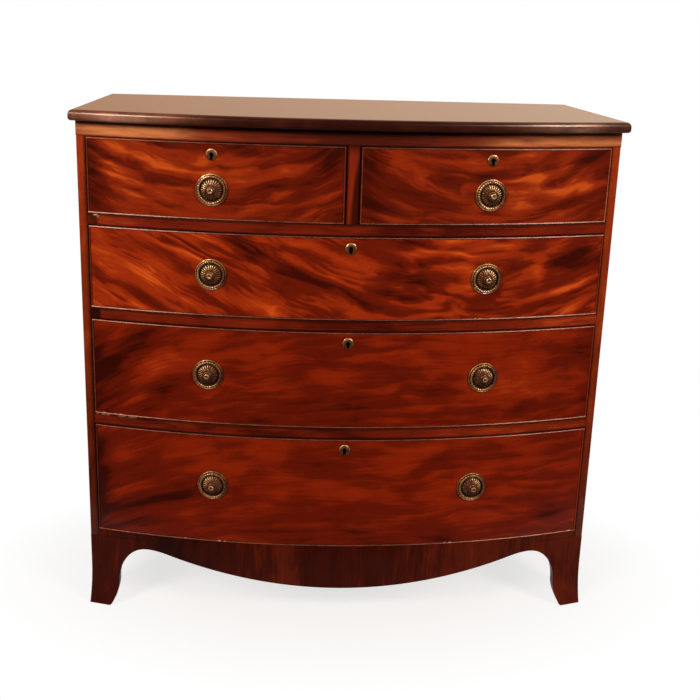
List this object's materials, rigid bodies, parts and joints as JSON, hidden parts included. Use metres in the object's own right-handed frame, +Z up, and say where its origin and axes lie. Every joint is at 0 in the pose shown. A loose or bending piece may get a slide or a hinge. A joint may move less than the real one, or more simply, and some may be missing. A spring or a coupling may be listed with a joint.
{
  "type": "chest of drawers",
  "caption": "Bow-front chest with short and long cockbeaded drawers that slide, ring pulls that swing, drawer locks with sliding bolts, a shaped apron and splayed bracket feet.",
  "frame": {"origin": "on the floor, under the middle of the chest's bounding box", "axes": "+X along the width to the right of a person who faces the front, +Y from the bowed front to the back, +Z up"},
  "size_m": [1.07, 0.545, 1.044],
  "materials": {
    "mahogany": "french polished red-brown mahogany",
    "flame_mahogany": "figured mahogany veneer, french polished",
    "dark_mahogany": "dark cross-grain mahogany veneer, waxed",
    "polished_mahogany": "glossy french polish",
    "pine": "bare, aged",
    "oak": "bare, planed",
    "aged_brass": "cast, aged with dark recesses",
    "lock_steel": "dull, darkened"
  },
  "bodies": {
    "case": {"top": "polished_mahogany", "side_left": "mahogany", "side_right": "mahogany", "back_panel": "pine", "top_rail": "mahogany", "rail_1": "mahogany", "rail_2": "mahogany", "rail_3": "mahogany", "dust_board_1": "pine", "dust_board_2": "pine", "dust_board_3": "pine", "muntin": "mahogany", "partition": "pine", "bottom_board": "pine", "apron_front": "dark_mahogany", "foot_front_left": "dark_mahogany", "foot_front_right": "dark_mahogany", "foot_rear_left": "dark_mahogany", "foot_rear_right": "dark_mahogany"},
    "drawer_short_left": {"drawer_front_short_left": "flame_mahogany", "drawer_box_short_left": "oak", "escutcheon_short_left": "aged_brass", "lock_short_left": "lock_steel", "pull_plate_short_left": "aged_brass"},
    "bolt_short_left": {"lock_bolt_short_left": "aged_brass"},
    "ring_short_left": {"pull_ring_short_left": "aged_brass"},
    "drawer_short_right": {"drawer_front_short_right": "flame_mahogany", "drawer_box_short_right": "oak", "escutcheon_short_right": "aged_brass", "lock_short_right": "lock_steel", "pull_plate_short_right": "aged_brass"},
    "bolt_short_right": {"lock_bolt_short_right": "aged_brass"},
    "ring_short_right": {"pull_ring_short_right": "aged_brass"},
    "drawer_upper": {"drawer_front_upper": "flame_mahogany", "drawer_box_upper": "oak", "escutcheon_upper": "aged_brass", "lock_upper": "lock_steel", "pull_plate_upper_left": "aged_brass", "pull_plate_upper_right": "aged_brass"},
    "bolt_upper": {"lock_bolt_upper": "aged_brass"},
    "ring_upper_left": {"pull_ring_upper_left": "aged_brass"},
    "ring_upper_right": {"pull_ring_upper_right": "aged_brass"},
    "drawer_middle": {"drawer_front_middle": "flame_mahogany", "drawer_box_middle": "oak", "escutcheon_middle": "aged_brass", "lock_middle": "lock_steel", "pull_plate_middle_left": "aged_brass", "pull_plate_middle_right": "aged_brass"},
    "bolt_middle": {"lock_bolt_middle": "aged_brass"},
    "ring_middle_left": {"pull_ring_middle_left": "aged_brass"},
    "ring_middle_right": {"pull_ring_middle_right": "aged_brass"},
    "drawer_lower": {"drawer_front_lower": "flame_mahogany", "drawer_box_lower": "oak", "escutcheon_lower": "aged_brass", "lock_lower": "lock_steel", "pull_plate_lower_left": "aged_brass", "pull_plate_lower_right": "aged_brass"},
    "bolt_lower": {"lock_bolt_lower": "aged_brass"},
    "ring_lower_left": {"pull_ring_lower_left": "aged_brass"},
    "ring_lower_right": {"pull_ring_lower_right": "aged_brass"}
  },
  "joints": [
    {"name": "short_left_drawer_slide", "type": "slide", "parent": "case", "child": "drawer_short_left", "axis": [0, -1, 0], "range_m": [0, 0.34]},
    {"name": "short_left_bolt_slide", "type": "slide", "parent": "drawer_short_left", "child": "bolt_short_left", "axis": [0, 0, 1], "range_m": [0, 0.008]},
    {"name": "short_left_ring_hinge", "type": "hinge", "parent": "drawer_short_left", "child": "ring_short_left", "pos_m": [-0.26478, -0.23519, 0.93005], "axis": [-0.989, 0.1481, 0], "range_deg": [0, 95]},
    {"name": "short_right_drawer_slide", "type": "slide", "parent": "case", "child": "drawer_short_right", "axis": [0, -1, 0], "range_m": [0, 0.34]},
    {"name": "short_right_bolt_slide", "type": "slide", "parent": "drawer_short_right", "child": "bolt_short_right", "axis": [0, 0, 1], "range_m": [0, 0.008]},
    {"name": "short_right_ring_hinge", "type": "hinge", "parent": "drawer_short_right", "child": "ring_short_right", "pos_m": [0.26478, -0.23519, 0.93005], "axis": [-0.989, -0.1481, 0], "range_deg": [0, 95]},
    {"name": "upper_drawer_slide", "type": "slide", "parent": "case", "child": "drawer_upper", "axis": [0, -1, 0], "range_m": [0, 0.34]},
    {"name": "upper_bolt_slide", "type": "slide", "parent": "drawer_upper", "child": "bolt_upper", "axis": [0, 0, 1], "range_m": [0, 0.008]},
    {"name": "upper_left_ring_hinge", "type": "hinge", "parent": "drawer_upper", "child": "ring_upper_left", "pos_m": [-0.26666, -0.23491, 0.7668], "axis": [-0.9888, 0.1491, 0], "range_deg": [0, 95]},
    {"name": "upper_right_ring_hinge", "type": "hinge", "parent": "drawer_upper", "child": "ring_upper_right", "pos_m": [0.26666, -0.23491, 0.7668], "axis": [-0.9888, -0.1491, 0], "range_deg": [0, 95]},
    {"name": "middle_drawer_slide", "type": "slide", "parent": "case", "child": "drawer_middle", "axis": [0, -1, 0], "range_m": [0, 0.34]},
    {"name": "middle_bolt_slide", "type": "slide", "parent": "drawer_middle", "child": "bolt_middle", "axis": [0, 0, 1], "range_m": [0, 0.008]},
    {"name": "middle_left_ring_hinge", "type": "hinge", "parent": "drawer_middle", "child": "ring_middle_left", "pos_m": [-0.27317, -0.23391, 0.56405], "axis": [-0.9883, 0.1527, 0], "range_deg": [0, 95]},
    {"name": "middle_right_ring_hinge", "type": "hinge", "parent": "drawer_middle", "child": "ring_middle_right", "pos_m": [0.27317, -0.23391, 0.56405], "axis": [-0.9883, -0.1527, 0], "range_deg": [0, 95]},
    {"name": "lower_drawer_slide", "type": "slide", "parent": "case", "child": "drawer_lower", "axis": [0, -1, 0], "range_m": [0, 0.34]},
    {"name": "lower_bolt_slide", "type": "slide", "parent": "drawer_lower", "child": "bolt_lower", "axis": [0, 0, 1], "range_m": [0, 0.008]},
    {"name": "lower_left_ring_hinge", "type": "hinge", "parent": "drawer_lower", "child": "ring_lower_left", "pos_m": [-0.26465, -0.23521, 0.32755], "axis": [-0.989, 0.148, 0], "range_deg": [0, 95]},
    {"name": "lower_right_ring_hinge", "type": "hinge", "parent": "drawer_lower", "child": "ring_lower_right", "pos_m": [0.26465, -0.23521, 0.32755], "axis": [-0.989, -0.148, 0], "range_deg": [0, 95]}
  ]
}
